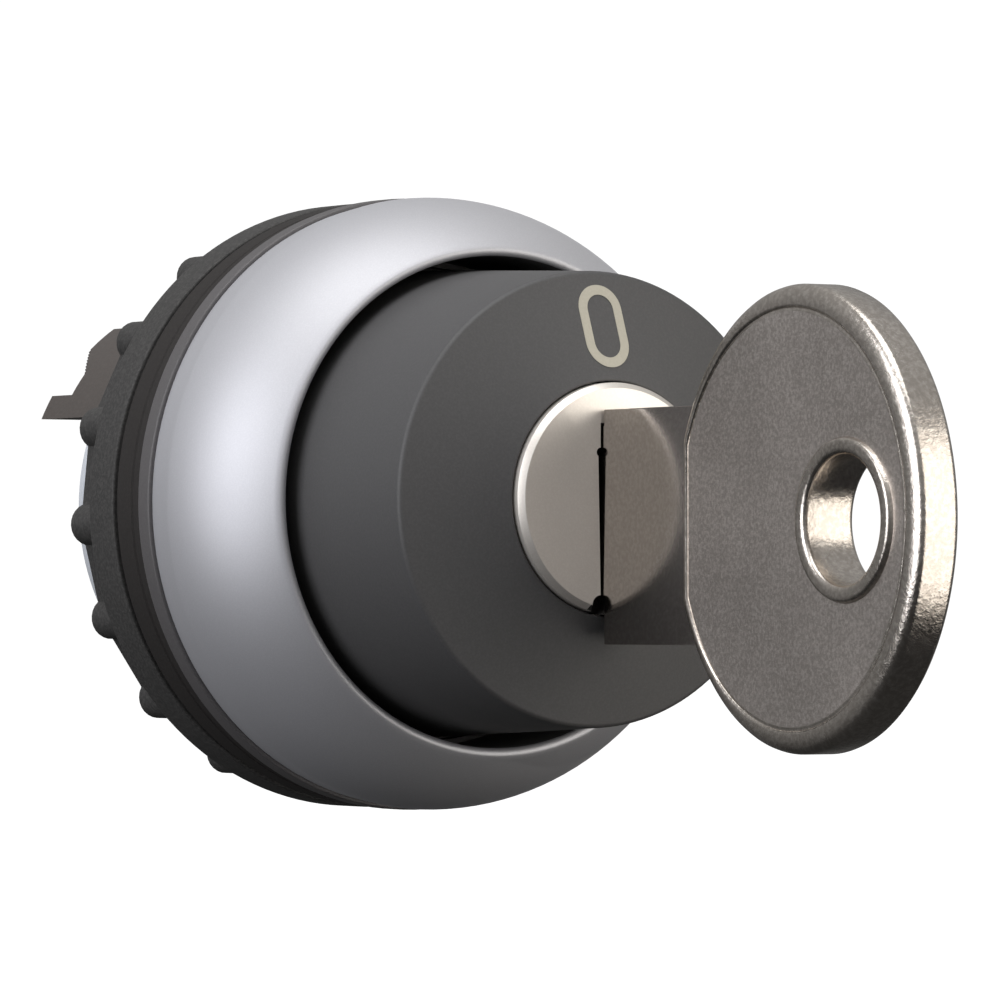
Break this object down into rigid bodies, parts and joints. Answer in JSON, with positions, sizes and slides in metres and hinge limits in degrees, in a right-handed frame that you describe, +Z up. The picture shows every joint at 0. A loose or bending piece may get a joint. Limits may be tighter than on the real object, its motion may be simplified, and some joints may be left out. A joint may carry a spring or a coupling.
{
  "type": "selector key switch",
  "caption": "Key-operated selector switch head for a panel hole: domed silver ring, black lock head marked 0 and I, flat oval key, ring nut behind.",
  "frame": {"origin": "on the switch axis, in the plane of the panel's front face where the gasket seats", "axes": "+Y along the axis to the rear, -Y towards the key, +Z up, +X to the right seen from the front"},
  "size_m": [0.0298, 0.0639, 0.0298],
  "materials": {
    "satin_ring": "satin coated metal ring, fine even grain",
    "flange_grey": "moulded dark grey plastic",
    "gasket_rubber": "black rubber",
    "barrel_silver": "pale grey moulded plastic with a silver look",
    "head_black": "matte black plastic, fine moulded texture",
    "mark_cream": "cream two-shot inlay",
    "collar_plastic": "dark brown-grey plastic",
    "lock_zinc": "cast zinc",
    "lock_face": "nickel-plated, satin face and a bright rim",
    "key_nickel": "nickel plate, grainy flats and polished edges",
    "steel": "plain steel",
    "seal_rubber": "black rubber",
    "cam_plastic": "natural moulded plastic",
    "wafer_brass": "stamped brass",
    "nut_black": "matte black glass-filled plastic"
  },
  "bodies": {
    "housing": {"bezel_ring": "satin_ring", "mounting_flange": "flange_grey", "panel_gasket": "gasket_rubber", "threaded_barrel": "barrel_silver", "lock_head": "head_black", "position_marks": "mark_cream", "coupling_collar": "collar_plastic", "lock_shell": "lock_zinc", "head_screws": "steel", "head_seal": "seal_rubber", "detent_spring": "steel", "plunger_spring_left": "steel", "plunger_spring_right": "steel"},
    "plug": {"lock_plug": "lock_face", "plug_seal": "seal_rubber", "plug_circlip": "steel", "cam_rotor": "cam_plastic", "rotor_screw": "steel", "wafer_springs": "steel"},
    "wafers": {"wafer_1": "wafer_brass", "wafer_2": "wafer_brass", "wafer_3": "wafer_brass", "wafer_4": "wafer_brass", "wafer_5": "wafer_brass"},
    "key": {"key": "key_nickel"},
    "plunger_left": {"plunger_left": "cam_plastic"},
    "plunger_right": {"plunger_right": "cam_plastic"},
    "washer": {"lock_washer": "steel"},
    "nut": {"ring_nut": "nut_black"}
  },
  "joints": [
    {"name": "plug_turn", "type": "hinge", "parent": "housing", "child": "plug", "pos_m": [0, 0, 0], "axis": [0, 1, 0], "range_deg": [0, 60], "deforming": ["plunger_spring_left", "plunger_spring_right", "detent_spring"]},
    {"name": "key_slide", "type": "slide", "parent": "plug", "child": "key", "axis": [0, -1, 0], "range_m": [0, 0.02]},
    {"name": "wafer_drop", "type": "slide", "parent": "plug", "child": "wafers", "axis": [0, 0, -1], "range_m": [0, 0.00081], "deforming": ["wafer_springs"]},
    {"name": "plunger_left_push", "type": "slide", "parent": "housing", "child": "plunger_left", "axis": [0, 1, 0], "range_m": [0, 0.00401]},
    {"name": "plunger_right_push", "type": "slide", "parent": "housing", "child": "plunger_right", "axis": [0, 1, 0], "range_m": [0, 0.00401]},
    {"name": "nut_travel", "type": "slide", "parent": "housing", "child": "washer", "axis": [0, 1, 0], "range_m": [0, 0.0095]},
    {"name": "nut_turn", "type": "hinge", "parent": "washer", "child": "nut", "pos_m": [0, 0, 0], "axis": [0, 1, 0], "range_deg": [0, 2281]}
  ],
  "couplings": [
    {"joint": "wafer_drop", "follows": "key_slide", "ratio": 0.04},
    {"joint": "plunger_left_push", "follows": "plug_turn", "m_per_rad": 0.0038197},
    {"joint": "plunger_right_push", "follows": "plug_turn", "m_per_rad": 0.0038197},
    {"joint": "nut_turn", "follows": "nut_travel", "rad_per_m": 4188.8}
  ]
}
